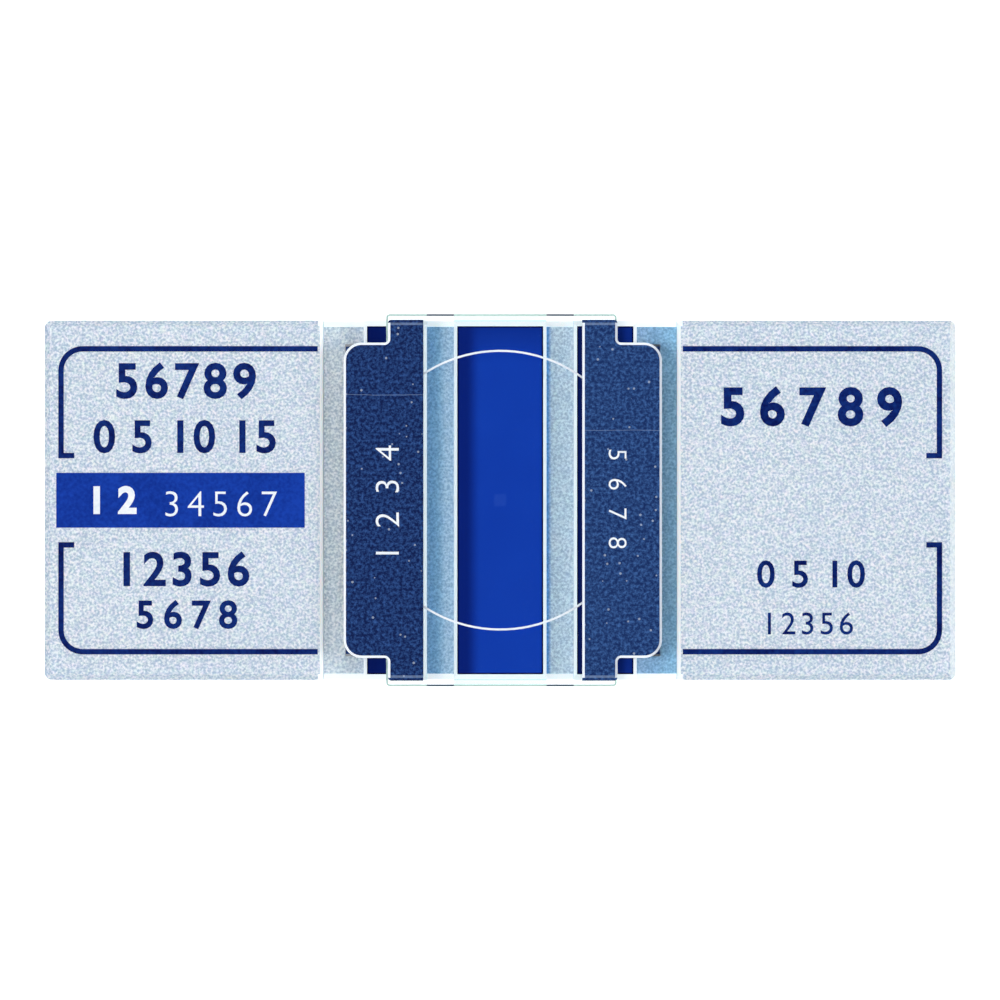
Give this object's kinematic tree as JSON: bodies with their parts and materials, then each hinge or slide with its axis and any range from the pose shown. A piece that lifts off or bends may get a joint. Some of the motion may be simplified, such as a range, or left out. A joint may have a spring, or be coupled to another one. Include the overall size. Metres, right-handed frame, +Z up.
{
  "type": "hemocytometer",
  "caption": "Counting chamber on a thick frosted glass slide, with polished lands, a cover glass and sprung clip plates that hold the cover glass down.",
  "frame": {"origin": "middle of the slide's underside", "axes": "+X along the slide towards the end without the number panel, +Y across it towards the back, +Z up out of the slide's top"},
  "size_m": [0.076, 0.031, 0.0065],
  "materials": {
    "frosted_glass": "fine ground",
    "blue_glass": "polished",
    "navy_enamel": "satin",
    "blue_enamel": "satin",
    "cover_glass": "optically polished",
    "white_enamel": "satin",
    "clip_coating": "fine grained, dull",
    "steel": "brushed",
    "spring_steel": "drawn wire"
  },
  "bodies": {
    "chamber": {"base_slab": "frosted_glass", "counting_platform": "blue_glass", "left_support_land": "blue_glass", "right_support_land": "blue_glass", "left_upper_frame_line": "navy_enamel", "left_lower_frame_line": "navy_enamel", "right_upper_frame_line": "navy_enamel", "right_lower_frame_line": "navy_enamel", "number_panel": "blue_enamel", "left_hinge_rail": "steel", "right_hinge_rail": "steel", "left_front_spring": "spring_steel", "left_back_spring": "spring_steel", "right_front_spring": "spring_steel", "right_back_spring": "spring_steel"},
    "left_clip": {"left_clip_plate": "clip_coating", "left_hinge_pin": "steel"},
    "right_clip": {"right_clip_plate": "clip_coating", "right_hinge_pin": "steel"},
    "cover": {"cover_glass": "cover_glass", "centring_ring": "white_enamel"}
  },
  "joints": [
    {"name": "left_clip_hinge", "type": "hinge", "parent": "chamber", "child": "left_clip", "pos_m": [-0.01216, 0, 0.0045], "axis": [0, -1, 0], "range_deg": [0, 40], "stiffness_Nm_per_rad": 0.003, "springref_deg": -34.38, "deforming": ["left_front_spring", "left_back_spring"]},
    {"name": "right_clip_hinge", "type": "hinge", "parent": "chamber", "child": "right_clip", "pos_m": [0.01258, 0, 0.0045], "axis": [0, 1, 0], "range_deg": [0, 40], "stiffness_Nm_per_rad": 0.003, "springref_deg": -34.38, "deforming": ["right_front_spring", "right_back_spring"]},
    {"name": "cover_slide", "type": "slide", "parent": "chamber", "child": "cover", "axis": [0, 1, 0], "range_m": [-0.015, 0.015]}
  ]
}
